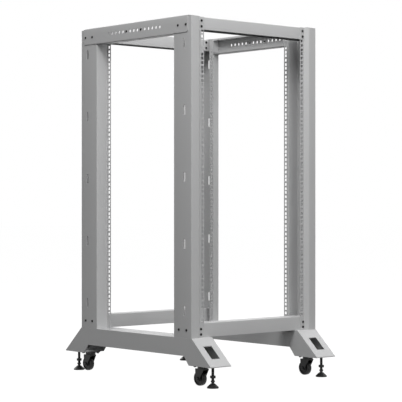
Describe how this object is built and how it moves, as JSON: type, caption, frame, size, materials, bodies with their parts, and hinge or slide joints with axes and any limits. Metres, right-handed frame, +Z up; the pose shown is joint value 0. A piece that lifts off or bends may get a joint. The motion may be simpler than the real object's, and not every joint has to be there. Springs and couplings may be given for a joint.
{
  "type": "four post open frame rack",
  "caption": "Open four post rack for nineteen inch equipment, folded steel posts with square holes, joined by beams, on two footed bases with swivel castors and levelling feet.",
  "frame": {"origin": "on the floor, under the middle of the rack", "axes": "+Z up, +X to the right, front faces -Y"},
  "size_m": [0.584, 0.8, 1.2279],
  "materials": {
    "grey_steel": "light grey powder coat",
    "black_steel": "black, satin",
    "bright_steel": "zinc plated",
    "black_nylon": "moulded",
    "black_rubber": "moulded"
  },
  "bodies": {
    "frame": {"post_front_left": "grey_steel", "post_front_right": "grey_steel", "post_rear_left": "grey_steel", "post_rear_right": "grey_steel", "top_beam_front": "grey_steel", "bottom_beam_front": "grey_steel", "top_beam_rear": "grey_steel", "bottom_beam_rear": "grey_steel", "top_beam_left": "grey_steel", "base_left": "grey_steel", "top_beam_right": "grey_steel", "base_right": "grey_steel", "foot_plate_front_left": "grey_steel", "castor_mount_front_left": "black_steel", "foot_plate_front_right": "grey_steel", "castor_mount_front_right": "black_steel", "foot_plate_rear_left": "grey_steel", "castor_mount_rear_left": "black_steel", "foot_plate_rear_right": "grey_steel", "castor_mount_rear_right": "black_steel"},
    "castor_front_left": {"castor_fork_front_left": "black_steel", "castor_axle_front_left": "bright_steel"},
    "wheel_front_left": {"castor_wheel_front_left": "black_nylon"},
    "leveller_front_left": {"leveller_pad_front_left": "black_rubber", "leveller_screw_front_left": "black_steel", "leveller_nut_front_left": "black_steel"},
    "castor_front_right": {"castor_fork_front_right": "black_steel", "castor_axle_front_right": "bright_steel"},
    "wheel_front_right": {"castor_wheel_front_right": "black_nylon"},
    "leveller_front_right": {"leveller_pad_front_right": "black_rubber", "leveller_screw_front_right": "black_steel", "leveller_nut_front_right": "black_steel"},
    "castor_rear_left": {"castor_fork_rear_left": "black_steel", "castor_axle_rear_left": "bright_steel"},
    "wheel_rear_left": {"castor_wheel_rear_left": "black_nylon"},
    "leveller_rear_left": {"leveller_pad_rear_left": "black_rubber", "leveller_screw_rear_left": "black_steel", "leveller_nut_rear_left": "black_steel"},
    "castor_rear_right": {"castor_fork_rear_right": "black_steel", "castor_axle_rear_right": "bright_steel"},
    "wheel_rear_right": {"castor_wheel_rear_right": "black_nylon"},
    "leveller_rear_right": {"leveller_pad_rear_right": "black_rubber", "leveller_screw_rear_right": "black_steel", "leveller_nut_rear_right": "black_steel"}
  },
  "joints": [
    {"name": "castor_swivel_front_left", "type": "hinge", "parent": "frame", "child": "castor_front_left", "pos_m": [-0.245, -0.31, 0.056], "axis": [0, 0, 1], "continuous": true},
    {"name": "wheel_spin_front_left", "type": "hinge", "parent": "castor_front_left", "child": "wheel_front_left", "pos_m": [-0.245, -0.297, 0.026], "axis": [1, 0, 0], "continuous": true},
    {"name": "leveller_height_front_left", "type": "slide", "parent": "frame", "child": "leveller_front_left", "axis": [0, 0, 1], "range_m": [-0.01, 0.003]},
    {"name": "castor_swivel_front_right", "type": "hinge", "parent": "frame", "child": "castor_front_right", "pos_m": [0.245, -0.31, 0.056], "axis": [0, 0, 1], "continuous": true},
    {"name": "wheel_spin_front_right", "type": "hinge", "parent": "castor_front_right", "child": "wheel_front_right", "pos_m": [0.245, -0.297, 0.026], "axis": [1, 0, 0], "continuous": true},
    {"name": "leveller_height_front_right", "type": "slide", "parent": "frame", "child": "leveller_front_right", "axis": [0, 0, 1], "range_m": [-0.01, 0.003]},
    {"name": "castor_swivel_rear_left", "type": "hinge", "parent": "frame", "child": "castor_rear_left", "pos_m": [-0.245, 0.31, 0.056], "axis": [0, 0, 1], "continuous": true},
    {"name": "wheel_spin_rear_left", "type": "hinge", "parent": "castor_rear_left", "child": "wheel_rear_left", "pos_m": [-0.245, 0.323, 0.026], "axis": [1, 0, 0], "continuous": true},
    {"name": "leveller_height_rear_left", "type": "slide", "parent": "frame", "child": "leveller_rear_left", "axis": [0, 0, 1], "range_m": [-0.01, 0.003]},
    {"name": "castor_swivel_rear_right", "type": "hinge", "parent": "frame", "child": "castor_rear_right", "pos_m": [0.245, 0.31, 0.056], "axis": [0, 0, 1], "continuous": true},
    {"name": "wheel_spin_rear_right", "type": "hinge", "parent": "castor_rear_right", "child": "wheel_rear_right", "pos_m": [0.245, 0.323, 0.026], "axis": [1, 0, 0], "continuous": true},
    {"name": "leveller_height_rear_right", "type": "slide", "parent": "frame", "child": "leveller_rear_right", "axis": [0, 0, 1], "range_m": [-0.01, 0.003]}
  ]
}
